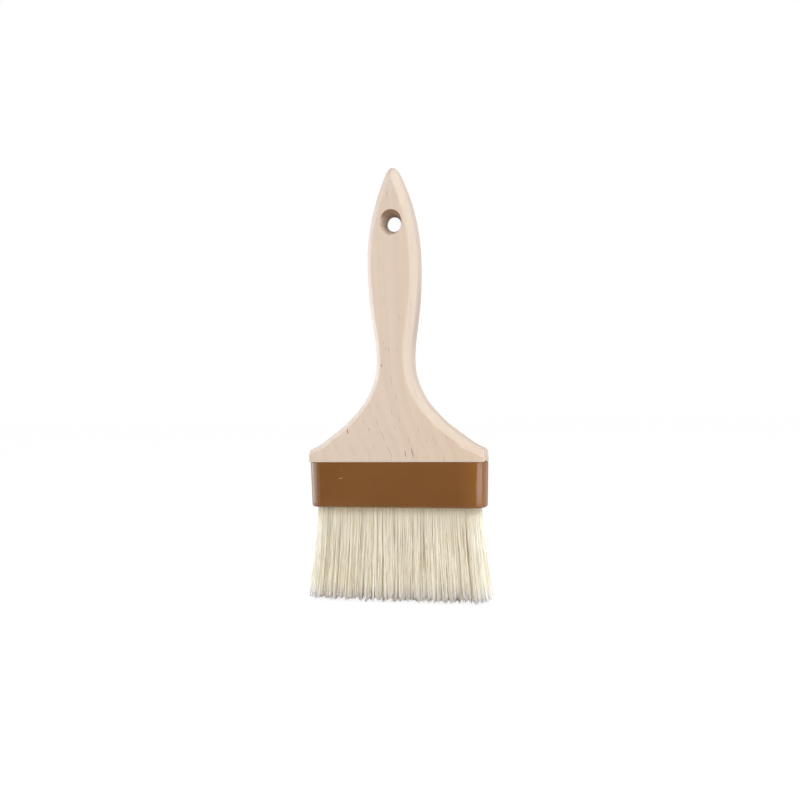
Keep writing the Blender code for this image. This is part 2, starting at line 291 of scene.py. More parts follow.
# -------------------------------------------------------------- wood materials
def wood_grain(n, light, mid, dark, offset_y=0.0):
    """The bare wood. Returns its colour and height so far, and the fields and
    coordinates that later layers use."""
    coord = n.coord()
    x, y, z = n.split(coord)
    # the fibres run with the handle, lean over towards the shoulder and wander slowly
    below = n.fade(z, span=(0.132, 0.080), smooth=False)
    lean = n.times(below, below, 0.0135)
    grain_x = n.plus(x, n.times(z, 0.035), n.times(lean, -1.0))
    wander = n.noise(n.vector(x, y, z, z_scale=0.35), scale=38.0)
    grain_x = n.plus(grain_x, n.times(wander, 0.0030))
    grain_y = n.plus(y, offset_y)

    long_grain = n.vector(grain_x, grain_y, z, z_scale=0.024)
    fine = n.noise(long_grain, scale=1700.0, detail=4.0, rough=0.62)
    streak = n.noise(long_grain, scale=430.0, detail=3.0, rough=0.55)
    broad = n.noise(n.vector(grain_x, grain_y, z, z_scale=0.06), scale=95.0, distort=0.6)
    # growth rings: soft bands that cut across the board at a slant
    phase = n.plus(n.times(grain_x, 760.0), n.times(grain_y, 520.0), n.times(broad, 9.0))
    ring = n.math('MULTIPLY_ADD', n.math('SINE', phase), 0.5, 0.5)
    ring = n.math('POWER', ring, 2.6)
    cloud = n.noise(coord, scale=26.0)
    # the figure weakens on the end grain of the rounded tip
    calm = n.fade(z, span=(0.2350, 0.2385), out=(1.0, 0.2))

    col = n.stain(light, mid, n.fade(streak, span=(0.38, 0.66)), amount=0.46)
    col = n.stain(col, dark, ring, amount=0.10, within=calm)
    col = n.stain(col, dark, n.fade(fine, span=(0.5, 0.74)), amount=0.15, within=calm)
    col = n.stain(col, mid, n.fade(cloud, span=(0.45, 0.75)), amount=0.20)
    height = n.math('MULTIPLY_ADD', fine, -0.6, 0.5)
    return SimpleNamespace(x=x, y=y, z=z, grain_x=grain_x, grain_y=grain_y, fine=fine,
                           cloud=cloud, calm=calm, dark=dark, colour=col, height=height)


def add_pores(n, wood):
    def pores(z_scale, scale, span):
        stretched = n.vector(wood.grain_x, wood.grain_y, wood.z, z_scale=z_scale)
        return n.fade(n.noise(stretched, scale=scale, detail=0.0), span=span)

    def shade(*factors):
        return tuple(d * f for d, f in zip(wood.dark, factors))

    # short closed pores, then larger and rarer flecks
    pore = pores(z_scale=0.075, scale=2300.0, span=(0.74, 0.81))
    wood.colour = n.stain(wood.colour, shade(0.62, 0.55, 0.48), pore,
                          amount=0.18, within=wood.calm)
    wood.height = n.math('SUBTRACT', wood.height, n.times(pore, 0.8))
    large = pores(z_scale=0.12, scale=760.0, span=(0.815, 0.86))
    wood.colour = n.stain(wood.colour, shade(0.45, 0.36, 0.28), large, amount=0.22)
    wood.height = n.math('SUBTRACT', wood.height, n.times(large, 1.2))


def tint_faces(n, wood):
    x, y, z, col = wood.x, wood.y, wood.z, wood.colour
    # a little warmer towards the +X shoulder
    col = n.tint(col, (0.985, 0.94, 0.865), n.fade(x, span=(-0.012, 0.040)), amount=0.55)
    # painted sheen: the chamfers, sides and tip are paler and less warm than the flats
    sheen_faces = n.times(n.fade(n.size(y), span=(0.00872, 0.0080)),
                     n.fade(n.size(x), span=(0.0062, 0.0085)))
    sheen_faces = n.largest(sheen_faces, n.fade(z, span=(0.222, 0.234)))
    pale = n.mix(n.fade(x, span=(-0.004, 0.004)), (0.99, 1.06, 1.15), (0.96, 1.005, 1.045))
    col = n.tint(col, pale, sheen_faces)
    # the narrow sides are a touch pinker, and browner and darker from the neck to the grip:
    # painted shade where the sides lean downwards
    rim = n.times(n.fade(n.size(y), span=(0.0056, 0.0044)),
                  n.fade(n.size(x), span=(0.0065, 0.0085)))
    col = n.tint(col, (0.955, 0.945, 0.975), rim)
    grip_shade = n.times(n.fade(z, span=(0.132, 0.148)), n.fade(z, span=(0.182, 0.162)))
    grip_shade = n.times(rim, grip_shade, n.fade(wood.cloud, span=(0.2, 0.6), out=(0.75, 1.0)))
    wood.colour = n.tint(col, (0.86, 0.84, 0.85), grip_shade)


def shade_hole(n, wood):
    """Painted shade in the hanging hole, most of all on its roof."""
    above = n.math('SUBTRACT', wood.z, HOLE_Z * MM)
    radius = n.math('SQRT', n.plus(n.times(wood.x, wood.x), n.times(above, above)))
    depth = n.size(wood.y)
    rim = HOLE_MOUTH_Z + 0.3
    inside = n.times(n.fade(radius, span=((rim + 0.75) * MM, (rim + 0.35) * MM)),
                     n.fade(depth, span=(0.00876, 0.00850)))
    roof = n.fade(n.plus(above, n.times(wood.x, 0.5)), span=(-0.0016, 0.0034))
    floor_amount = n.fade(depth, span=(0.0088, 0.0030), out=(0.08, 0.23))
    roof_amount = n.fade(depth, span=(0.0088, 0.0030), out=(0.88, 0.66))
    gain = n.math('SUBTRACT', roof_amount, floor_amount)
    amount = n.math('MULTIPLY_ADD', roof, gain, floor_amount)
    # the painted shade: a dark brown laid over the wood inside the hole
    wood.colour = n.stain(wood.colour, (0.22, 0.115, 0.055), inside, amount)


# Grain marks on the front face: x, z, half length, half width (mm), lean (degrees)
STRONG_MARKS = [
    (6.5, 80.9, 2.7, 0.32, 13), (10.5, 81.4, 3.7, 0.36, 15), (-26.6, 93.5, 2.1, 0.42, 6),
    (-6.5, 129.9, 1.2, 0.36, 9),
]
FAINT_MARKS = [
    (8.6, 88.3, 3.0, 0.24, 16), (-9.5, 98.6, 3.6, 0.24, 18), (-6.4, 91.1, 4.9, 0.26, 25),
    (-2.7, 82.8, 4.6, 0.24, 23), (-17.5, 99.0, 1.2, 0.28, 5), (-14.3, 94.5, 1.3, 0.30, 12),
    (1.6, 112.1, 2.6, 0.22, 16), (-0.9, 121.2, 3.9, 0.18, 6), (14.0, 94.3, 2.0, 0.24, 5),
    (29.7, 89.9, 1.3, 0.24, 9), (-1.7, 224.7, 3.9, 0.24, 2), (4.0, 222.4, 2.0, 0.20, 3),
    (4.2, 156.3, 1.8, 0.22, 2), (5.6, 155.3, 1.7, 0.20, 2), (-4.1, 139.1, 1.6, 0.24, 3),
    (-2.2, 138.4, 1.7, 0.22, 3), (2.7, 138.7, 1.5, 0.22, 2), (-4.9, 142.4, 1.1, 0.22, 4),
    (-1.0, 104.0, 2.4, 0.2, 14), (18.5, 88.0, 1.6, 0.2, 12), (3.4, 99.5, 2.2, 0.22, 15),
    (-33.5, 84.5, 1.5, 0.22, 8), (-11.5, 84.6, 1.6, 0.22, 16), (0.6, 95.2, 2.0, 0.2, 15),
]


def add_marks(n, wood, marks, colour, amount):
    x, y, z = n.split(n.coord())
    masks = []
    for mark_x, mark_z, half_length, half_width, lean in marks:
        cos, sin = math.cos(math.radians(lean)), math.sin(math.radians(lean))
        dx = n.math('SUBTRACT', x, mark_x * MM)
        dz = n.math('SUBTRACT', z, mark_z * MM)
        across = n.plus(n.times(dx, cos), n.times(dz, sin))
        along = n.math('SUBTRACT', n.times(dz, cos), n.times(dx, sin))
        oval = n.ellipse(across, along, half_width * MM, half_length * MM)
        masks.append(n.fade(oval, span=(1.0, 0.15)))
    front = n.fade(y, span=(-0.0035, -0.0065))
    mask = n.times(n.largest(*masks), front)
    wood.colour = n.stain(wood.colour, colour, mask, amount)


def finish_wood(n, wood, roughness):
    grain_bump = 0.35
    normal = n.bump(wood.height, strength=grain_bump, distance=0.00006)
    # almost smooth on the rounded tip
    n.put(normal.node.inputs["Strength"],
          n.fade(wood.z, span=(0.2350, 0.2385), out=(grain_bump, 0.03)))
    n.surface({
        "Base Color": wood.colour,
        "Roughness": n.plus(n.times(wood.fine, 0.16), roughness - 0.08),
        "Specular IOR Level": 0.42,
        "Normal": normal,
    })
    return n.mat


def handle_wood():
    n = Material("pale_hardwood")
    wood = wood_grain(n, light=(0.602, 0.488, 0.394), mid=(0.567, 0.451, 0.358),
                      dark=(0.445, 0.326, 0.237))
    add_pores(n, wood)
    tint_faces(n, wood)
    shade_hole(n, wood)
    add_marks(n, wood, STRONG_MARKS, colour=(0.17, 0.105, 0.065), amount=0.80)
    add_marks(n, wood, FAINT_MARKS, colour=(0.30, 0.20, 0.135), amount=0.55)
    return finish_wood(n, wood, roughness=0.5)


def filler_wood():
    n = Material("sawn_filler_wood")
    wood = wood_grain(n, light=(0.60, 0.46, 0.32), mid=(0.53, 0.39, 0.26),
                      dark=(0.38, 0.26, 0.16), offset_y=0.4)
    return finish_wood(n, wood, roughness=0.7)


# --------------------------------------------------------------------- handle
# z, half width
OUTLINE = [
    (76.1, 64.3), (79.0, 58.3), (82.0, 52.3), (85.5, 44.7), (89.0, 39.5),
    (93.0, 34.0), (97.5, 28.3), (102.0, 23.65), (107.0, 19.15), (112.5, 15.4),
    (118.0, 12.8), (125.0, 10.6), (133.0, 9.9), (142.0, 10.4), (152.0, 11.75),
    (163.0, 13.2), (174.0, 14.05), (185.0, 14.3), (196.0, 13.95),
    (206.0, 12.75), (215.0, 10.95), (222.0, 9.0), (228.0, 6.95),
    (232.5, 5.15), (235.8, 3.65), (238.2, 2.6), (239.6, 1.85), (240.4, 0.9),
]
CHAMFER, CHAMFER_LEFT = 4.0, 2.7    # the front left (-X) edge is worked less than the rest
TENON_WIDTH, TENON_THICK, TENON_CHAMFER, TENON_LENGTH = 96.0, 12.7, 4.6, 11.3
MIN_FLAT = 0.55                     # half width of the flat where the chamfers would meet
SHOULDER_BLEND = 1.2                # over which the outline runs into the shoulder's end
# first sections: rise above the shoulder, how far each is drawn in
SHOULDER_SECTIONS = [(0.0, 0.16), (0.12, 0.06), (0.35, 0.0), (0.8, 0.0)]
# sections above SHOULDER + 1.4: up to this z, step
SECTION_STEPS = [(88.0, 0.35), (126.0, 0.7), (222.0, 1.5), (237.0, 0.7), (TOP - 0.3, 0.3)]
TIP_RINGS = [(0.86, 0.10), (0.62, 0.22), (0.34, 0.30)]      # scale, rise over the last section
SAND_DEPTH, SAND_STEP, SAND_PASSES = 4.6, 0.35, 8           # smoothing of the tip

outline = smooth_curve(OUTLINE)


def soft_min(a, b, blend):
    share = min(max(0.5 + 0.5 * (b - a) / blend, 0.0), 1.0)
    return b * (1 - share) + a * share - blend * share * (1 - share)


def fillet(before, corner, after, reach, steps=6):
    """Points that round the corner between its two neighbours."""
    to_before, to_after = before - corner, after - corner
    len_before, len_after = np.linalg.norm(to_before), np.linalg.norm(to_after)
    start = corner + to_before / max(len_before, 1e-9) * min(reach, 0.42 * len_before)
    end = corner + to_after / max(len_after, 1e-9) * min(reach, 0.42 * len_after)
    return [(1 - t) ** 2 * start + 2 * t * (1 - t) * corner + t * t * end
            for t in np.linspace(0, 1, steps)]


def points_between(start, end, shares):
    return [start + (end - start) * t for t in shares]


def handle_quadrant(z, chamfer):
    """The +X +Y quarter of the section at z, from the side to the middle of the back."""
    half, slope = outline(z)
    lean = math.sqrt(1.0 + slope * slope)
    side_y = HALF_THICK - chamfer
    flat, face_y = half - chamfer * lean, HALF_THICK
    if flat < MIN_FLAT:
        flat = max(MIN_FLAT * min(1.0, half / 1.2), 0.12)
        face_y = side_y + max(half - flat, 0.0) / lean
    edge, edge_y = half, side_y
    if half > HALF_SHOULDER - SHOULDER_BLEND:
        edge = soft_min(half, HALF_SHOULDER, SHOULDER_BLEND)
        edge_y = min(side_y + (half - edge) / lean, HALF_THICK - 0.35)
        flat = min(flat, edge - 0.45)
    # the section thins over the last 5.4 mm
    nose = max(0.0, z - (TOP - 5.4)) / 5.65
    squeeze = math.sqrt(max(0.0, 1.0 - 0.86 * nose * nose))
    face_y, edge_y = face_y * squeeze, edge_y * squeeze

    centre, flat_end = np.array([0.0, face_y]), np.array([flat, face_y])
    edge_top, side = np.array([edge, edge_y]), np.array([edge, 0.0])
    outer = fillet(side, edge_top, flat_end, 0.70)
    inner = fillet(edge_top, flat_end, centre, 0.75)
    points = [side, side + (outer[0] - side) * 0.7]
    points += outer
    points += points_between(outer[-1], inner[0], (0.12, 0.5, 0.88))
    points += inner
    points += points_between(inner[-1], centre, (0.08, 0.4, 0.7))
    points.append(centre)
    return points


def tenon_quadrant(count):
    x, y, chamfer = TENON_WIDTH / 2, TENON_THICK / 2, TENON_CHAMFER
    low, high, centre = np.array([x, y - chamfer]), np.array([x - chamfer, y]), np.array([0.0, y])
    points = [np.array([x, 0.0]), np.array([x, (y - chamfer) * 0.6])]
    points += points_between(low, high, np.linspace(0, 1, count - 6))
    points += points_between(high, centre, (0.08, 0.4, 0.7))
    points.append(centre)
    return points


def mirror_ring(quad, z, quad_left):
    """A whole section in metres from its +X +Y quarter (side first). quad_left is
    the quarter for the front left edge."""
    ring = [(x, y) for x, y in quad]                           # +X side -> back centre
    ring += [(-x, y) for x, y in reversed(quad[:-1])]          # back centre -> -X side
    ring += [(-x, -y) for x, y in quad_left[1:]]               # -X side -> front centre
    ring += [(x, -y) for x, y in reversed(quad[1:-1])]         # front centre -> +X side
    return [(x * MM, y * MM, z * MM) for x, y in ring]


def scaled(points, factor):
    return [p * factor for p in points]


def handle_sections():
    """(right quarter, front left quarter, z) from the shoulder up."""
    levels = [(SHOULDER + rise, ease) for rise, ease in SHOULDER_SECTIONS]
    z = SHOULDER + 1.4
    for limit, step in SECTION_STEPS:
        while z < limit:
            levels.append((z, 0.0))
            z += step
    sections = []
    for z, ease in levels:
        t = min(max((z - 196.0) / 26.0, 0.0), 1.0)      # both chamfers match above z = 222
        left = CHAMFER_LEFT + (CHAMFER - CHAMFER_LEFT) * t * t * (3 - 2 * t)
        shrink = np.array([1 - ease / HALF_SHOULDER, 1 - ease / HALF_THICK])
        sections.append((scaled(handle_quadrant(z, CHAMFER), shrink),
                         scaled(handle_quadrant(z, left), shrink), z))
    return sections


def handle_blank():
    sections = handle_sections()
    tenon = tenon_quadrant(len(sections[0][0]))
    tenon_end = scaled(tenon, np.array([0.985, 0.93]))
    tenon_z = SHOULDER - TENON_LENGTH
    rings = [mirror_ring(quad, z, quad) for quad, z in
             ((tenon_end, tenon_z), (tenon, tenon_z + 0.8), (tenon, SHOULDER - 0.02))]
    rings += [mirror_ring(right, z, left) for right, left, z in sections]
    right, left, last_z = sections[-1]
    for scale, rise in TIP_RINGS:
        rings.append(mirror_ring(scaled(right, scale), last_z + rise, scaled(left, scale)))
    mesh = mesh_from_arrays("handle_body", *loft(rings))
    outward(mesh)

    bm = bmesh.new()
    bm.from_mesh(mesh)
    for k in range(SAND_PASSES):                # sand the tip round
        floor_z = (TOP - SAND_DEPTH + SAND_STEP * k) * MM
        tip = [v for v in bm.verts if v.co.z > floor_z]
        bmesh.ops.smooth_vert(bm, verts=tip, factor=0.5,
                              use_axis_x=True, use_axis_y=True, use_axis_z=False)
    bm.to_mesh(mesh)
    bm.free()
    return mesh


def hole_cutter(segments=128, slices=65, overrun=1.2):
    """The hanging hole's solid: round at mid thickness, its mouths drawn out
    along the grain and a little more on the upper side."""
    rings = []
    for y in np.linspace(HALF_THICK + overrun, -HALF_THICK - overrun, slices):
        depth = abs(y) / HALF_THICK
        flare = depth ** 1.12
        lip = 0.16 * min(max((depth - 0.965) / 0.035, 0.0), 1.0) ** 2
        radius_x = HOLE_WAIST + (HOLE_MOUTH_X - HOLE_WAIST) * flare + lip
        radius_z = HOLE_WAIST + (HOLE_MOUTH_Z - HOLE_WAIST) * flare + lip
        worn = 1.0 + 0.065 * flare
        ring = []
        for k in range(segments):
            angle = 2 * math.pi * k / segments
            stretch = worn if k < segments // 2 else 1.0
            ring.append((radius_x * math.cos(angle) * MM, y * MM,
                         (HOLE_Z + radius_z * stretch * math.sin(angle)) * MM))
        rings.append(ring)
    mesh = mesh_from_arrays("hole_cutter", *loft(rings))
    outward(mesh)
    return add_object("hole_cutter", mesh)


def build_handle():
    blank = handle_blank()
    wood = handle_wood()
    finish_mesh(blank, wood)
    handle = add_object("handle_body", blank)
    cutter = hole_cutter()
    mod = handle.modifiers.new("hole", 'BOOLEAN')
    mod.operation, mod.solver, mod.object = 'DIFFERENCE', 'EXACT', cutter
    bpy.context.view_layer.update()
    evaluated = handle.evaluated_get(bpy.context.evaluated_depsgraph_get())
    drilled = bpy.data.meshes.new_from_object(evaluated)
    handle.modifiers.clear()
    handle.data = drilled
    bpy.data.objects.remove(cutter)
    drilled.name = "handle_body_mesh"
    finish_mesh(drilled, wood, sharp_angle=26.0)
    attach(handle, BODY)
    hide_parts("handle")


# --------------------------------------------------------------------- ferrule
WIDTH_TOP, WIDTH_MOUTH, FERRULE_THICK, FERRULE_RADIUS = 101.6, 100.2, 18.0, 7.5
WALL = 1.5
EDGE_RADIUS = 1.35                              # round at the lower outer edge
MOUTH_HALF_X, MOUTH_HALF_Y, MOUTH_RADIUS = 48.2, 6.8, 5.6
ARC_SEGMENTS, LONG_SEGMENTS, SHORT_SEGMENTS = 22, 30, 4
# upper rim: inset, drop below the top
RIM = [(1.30, 0.10), (0.95, 0.0), (0.30, 0.0), (0.12, 0.04), (0.03, 0.14), (0.0, 0.32)]
# shallow groove round the outside: inset, rise above the mouth
GROOVE = [(0.0, 2.35), (0.0, 2.05), (0.05, 1.92), (0.055, 1.78), (0.01, 1.62)]
# underside lip and up the inside: growth over the mouth's size, rise above the mouth
LIP = [(0.35, 0.0), (0.10, 0.10), (0.0, 0.35), (0.0, 1.4), (0.15, 1.6)]


def plastic_material():
    n = Material("moulded_brown_plastic")
    coord = n.coord()
    x, y, z = n.split(coord)
    cloud = n.noise(coord, scale=30.0, detail=3.0, rough=0.55)
    grit = n.noise(coord, scale=5200.0, rough=0.6)
    flow = n.noise(n.vector(n.times(x, 0.25), y, z, z_scale=1.6),
                   scale=160.0, detail=3.0, rough=0.55)
    col = n.mix(n.fade(cloud, span=(0.3, 0.72)), (0.158, 0.065, 0.0155), (0.175, 0.072, 0.019))
    col = n.stain(col, (0.198, 0.087, 0.026), n.fade(flow, span=(0.45, 0.75)), amount=0.14)
    # warmer towards the +X end, as light comes through the thin corner
    col = n.stain(col, (0.255, 0.098, 0.022), n.fade(x, span=(0.034, 0.046)), amount=0.5)
    speck = n.noise(coord, scale=900.0, detail=0.0)
    col = n.stain(col, (0.33, 0.18, 0.08), n.fade(speck, span=(0.80, 0.84)), amount=0.22)
    # two handling marks on the front: a thin upright scratch and a short pale dash
    front = n.fade(y, span=(-0.0080, -0.0088))
    masks = []
    for mark_x, mark_z, half_x, half_z, amount in (
            (-30.8, 72.0, 0.16, 1.9, 0.28), (-31.0, 67.3, 1.3, 0.30, 0.75)):
        oval = n.ellipse(n.math('SUBTRACT', x, mark_x * MM), n.math('SUBTRACT', z, mark_z * MM),
                         half_x * MM, half_z * MM)
        masks.append(n.times(n.fade(oval, span=(1.0, 0.2)), amount))
    marks = n.times(n.largest(*masks), front)
    rough = n.math('MULTIPLY_ADD', cloud, 0.07, 0.115)
    fine_bump = n.bump(grit, strength=0.06, distance=0.00002)
    n.surface({
        "Base Color": n.stain(col, (0.46, 0.29, 0.13), marks),
        "Roughness": n.plus(rough, n.times(marks, 0.3)),
        "Specular IOR Level": 0.5,
        "Normal": n.bump(n.noise(coord, scale=150.0), strength=0.10, distance=0.00018,
                         normal=fine_bump),
    })
    return n.mat


def rounded_rect(half_x, half_y, radius, z):
    """Loop of a rectangle with rounded corners, anticlockwise from +X -Y."""
    in_x, in_y = half_x - radius, half_y - radius
    corners = [(in_x, -half_y + radius, -90), (in_x, in_y, 0),
               (-half_x + radius, in_y, 90), (-half_x + radius, -half_y + radius, 180)]

    def on_arc(corner, degrees):
        angle = math.radians(degrees)
        return corner[0] + radius * math.cos(angle), corner[1] + radius * math.sin(angle)

    points = []
    for i, corner in enumerate(corners):
        for k in range(ARC_SEGMENTS + 1):
            points.append(on_arc(corner, corner[2] + 90 * k / ARC_SEGMENTS))
        following = corners[(i + 1) % 4]
        start, end = points[-1], on_arc(following, following[2])
        segments = SHORT_SEGMENTS if i % 2 == 0 else LONG_SEGMENTS
        for k in range(1, segments):
            t = k / segments
            points.append((start[0] + (end[0] - start[0]) * t,
                           start[1] + (end[1] - start[1]) * t))
    return [[x, y, z] for x, y in points]


def outer_loop(inset, z, width_z=None):
    """Loop set in from the ferrule's outside, as wide as at width_z (z if not given)."""
    t = ((z if width_z is None else width_z) - MOUTH) / (FERRULE_TOP - MOUTH)
    half = (WIDTH_MOUTH + (WIDTH_TOP - WIDTH_MOUTH) * t) / 2
    return rounded_rect(half - inset, FERRULE_THICK / 2 - inset, FERRULE_RADIUS - inset, z)


def ferrule_loops():
    """Down the outside, round the lower edge and back up the inside."""
    loops = [outer_loop(inset, FERRULE_TOP - drop) for inset, drop in RIM]
    loops += [outer_loop(0.0, z) for z in np.arange(FERRULE_TOP - 0.8, MOUTH + 3.0, -0.4)]
    loops += [outer_loop(inset, MOUTH + rise) for inset, rise in GROOVE]
    for k in range(9):
        angle = math.radians(90 * k / 8)
        loops.append(outer_loop(EDGE_RADIUS * (1 - math.cos(angle)),
                                MOUTH + EDGE_RADIUS * (1 - math.sin(angle))))
    loops += [rounded_rect(MOUTH_HALF_X + grow, MOUTH_HALF_Y + grow, MOUTH_RADIUS + grow,
                           MOUTH + rise) for grow, rise in LIP]
    loops.append(outer_loop(WALL, MOUTH + 1.9, width_z=MOUTH + 1.8))
    loops += [outer_loop(WALL, z) for z in
              (MOUTH + 7.0, MOUTH + 13.0, MOUTH + 19.0, FERRULE_TOP - 1.2)]
    loops.append(outer_loop(WALL, FERRULE_TOP - 0.35, width_z=FERRULE_TOP))
    return loops


def age_ferrule(verts):
    """Moves the vertices in y, in place; x, y and z are views of verts."""
    x, y, z = verts.T
    # slight sink and wave of a moulding on the two broad faces
    wave = (0.045 * np.sin(x * 0.11 + 0.7) + 0.03 * np.sin(x * 0.23 + z * 0.19 + 2.1)
            + 0.02 * np.sin(z * 0.35 + x * 0.05))
    faces = np.clip((np.abs(y) - 8.4) / 0.5, 0, 1)
    y -= (np.sign(y) * faces * (0.05 + wave) * np.clip((FERRULE_TOP - z) / 1.5, 0, 1)
          * np.clip((z - MOUTH - 2) / 1.5, 0, 1))
    # a small knock, and a faint step, on the +X front corner
    y += 0.05 * np.exp(-((x - 46.6) ** 2 / (2 * 0.5 ** 2) + (y + 8.0) ** 2 / (2 * 0.8 ** 2)
                         + (z - 63.6) ** 2 / (2 * 0.6 ** 2)))
    corner = np.clip((x - 43.5) / 3, 0, 1) * np.clip((-y - 1.0) / 4, 0, 1)
    y -= 0.050 * (1 / (1 + np.exp((z - 63.2) / 0.5)) * corner)


def build_ferrule():
    verts, corners, sizes = loft(ferrule_loops(), closed=True)
    age_ferrule(verts)
    mesh = mesh_from_arrays("ferrule_band", verts * MM, corners, sizes)
    outward(mesh)
    band = add_object("ferrule_band", mesh)
    finish_mesh(mesh, plastic_material(), sharp_angle=40.0)
    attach(band, BODY)
    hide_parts("ferrule")


# -------------------------------------------------------------------- bristles
# A bristle's place in its bank is (u, q): u runs from -1 to 1 along X, and q from
# 0 at the inner face to 1 at the outer.
TONES = 64
TONE_STOPS = [                      # tone, colour
    (0.00, (0.31, 0.21, 0.11)), (0.10, (0.51, 0.395, 0.24)), (0.30, (0.76, 0.665, 0.475)),
    (0.55, (0.85, 0.77, 0.59)), (0.80, (0.91, 0.845, 0.68)), (1.00, (0.96, 0.925, 0.80)),
]
CLUMPS, LOCKS = 760, 60             # small wisps and broad locks in each third of a bank
MOUTH_HALF, TIP_SPREAD = 46.85, 4.3
TIP_HALF = MOUTH_HALF + TIP_SPREAD
FACE_REACH = 5.4                    # radius that rounds the ends of a bank's outer face
EDGE_TURN = math.radians(14.5)      # the trimmed edge is laid out along X turned this far
# heights of a bristle's rings; the last two close its tip
LONG_STATIONS = [ROOT_TOP - 0.4, MOUTH + 5.0, MOUTH, 43.0, 34.0, 24.5, 15.5, 7.5, 0.9, 0.0]
SHORT_STATIONS = [ROOT_TOP - 0.4, MOUTH + 3.0, 38.0, 18.0, 0.9, 0.0]
N_LONG, N_SHORT = ((2700, 1300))

# the trimmed edge: no two wisps side by side end at the same height
edge_rng = np.random.default_rng(55)
EDGE_X = -62.0 + np.cumsum(edge_rng.uniform(0.45, 1.35, 142))
EDGE_Z = np.clip(edge_rng.normal(-1.15, 0.62, 143), -2.1, 0.6)


def bristle_material(name, warm):
    """Colour from the bristle's own UV layer: its column is its tone and its
    height is the place along the bristle, from root to tip."""
    n = Material(name)
    u, v, _ = n.split(n.new("ShaderNodeUVMap", uv_map="OFBake").outputs[0])
    column = n.math('FLOOR', n.times(u, float(TONES)))
    ramp = n.new("ShaderNodeValToRGB")
    ramp.color_ramp.interpolation = 'LINEAR'
    elements = ramp.color_ramp.elements
    elements[0].color = (*TONE_STOPS[0][1], 1.0)
    elements[1].color = (*TONE_STOPS[-1][1], 1.0)
    for position, colour in TONE_STOPS[1:-1]:
        elements.new(position).color = (*colour, 1.0)
    n.put(ramp.inputs[0], n.math('DIVIDE', column, TONES - 1.0))
    col = ramp.outputs[0]
    # closer in tone where the bristle leaves the ferrule, and darker there: painted shade under
    # the ferrule, and a brown stain that is partly real and partly painted shade
    col = n.stain(col, (0.83, 0.755, 0.585), n.fade(v, span=(0.44, 0.22), out=(0.0, 0.5)))
    # painted shade under the ferrule
    col = n.tint(col, (0.93, 0.93, 0.92), n.fade(v, span=(0.56, 0.30)))
    # brown stain, partly real and partly painted shade
    col = n.stain(col, (0.46, 0.335, 0.195), n.fade(v, span=(0.300, 0.175)), amount=0.54)
    # greyer and darker towards the tip: painted shade among the tips
    split = n.math('POWER', n.fade(v, span=(0.80, 0.98), smooth=False), 2.5)
    col = n.tint(col, (0.835, 0.865, 1.04), split)
    if warm:
        col = n.stain(col, (0.66, 0.53, 0.36), mask=0.05)
    n.surface({
        "Base Color": col,
        "Roughness": 0.42,
        "Specular IOR Level": 0.5,
        "Sheen Weight": 0.30,
        "Sheen Roughness": 0.45,
        "Sheen Tint": (1.0, 0.97, 0.90),
        # painted glow, standing in for light scattered through the thin, open ends of the bristles
        "Emission Color": col,
        "Emission Strength": n.fade(v, span=(0.50, 0.95), out=(0.015, 0.085)),
    })
    return n.mat


def smooth01(t):
    t = np.clip(t, 0.0, 1.0)
    return t * t * (3 - 2 * t)


def pack_section(z):
    """Half width, outer depth and inner depth of one bank at height z."""
    drop = (MOUTH - z) / MOUTH
    up = smooth01((z - MOUTH) / 5.0)
    half = MOUTH_HALF + TIP_SPREAD * np.clip(drop, 0.0, 1.1) ** 1.5 - 0.5 * up
    outer = 6.42 + 1.95 * smooth01(drop) - 0.72 * up
    gap = np.clip((z - 20.0) / (MOUTH + 5.9 - 20.0), 0.0, 1.0)
    inner = 0.16 + 1.90 * gap * gap
    return half, outer, inner


def r2_points(n, start):
    """n evenly scattered points in the unit square (the R2 sequence)."""
    plastic_number = 1.32471795724474602596
    i = np.arange(1, n + 1)
    return ((start + i / plastic_number) % 1.0,
            (start * 1.7 + i / (plastic_number * plastic_number)) % 1.0)


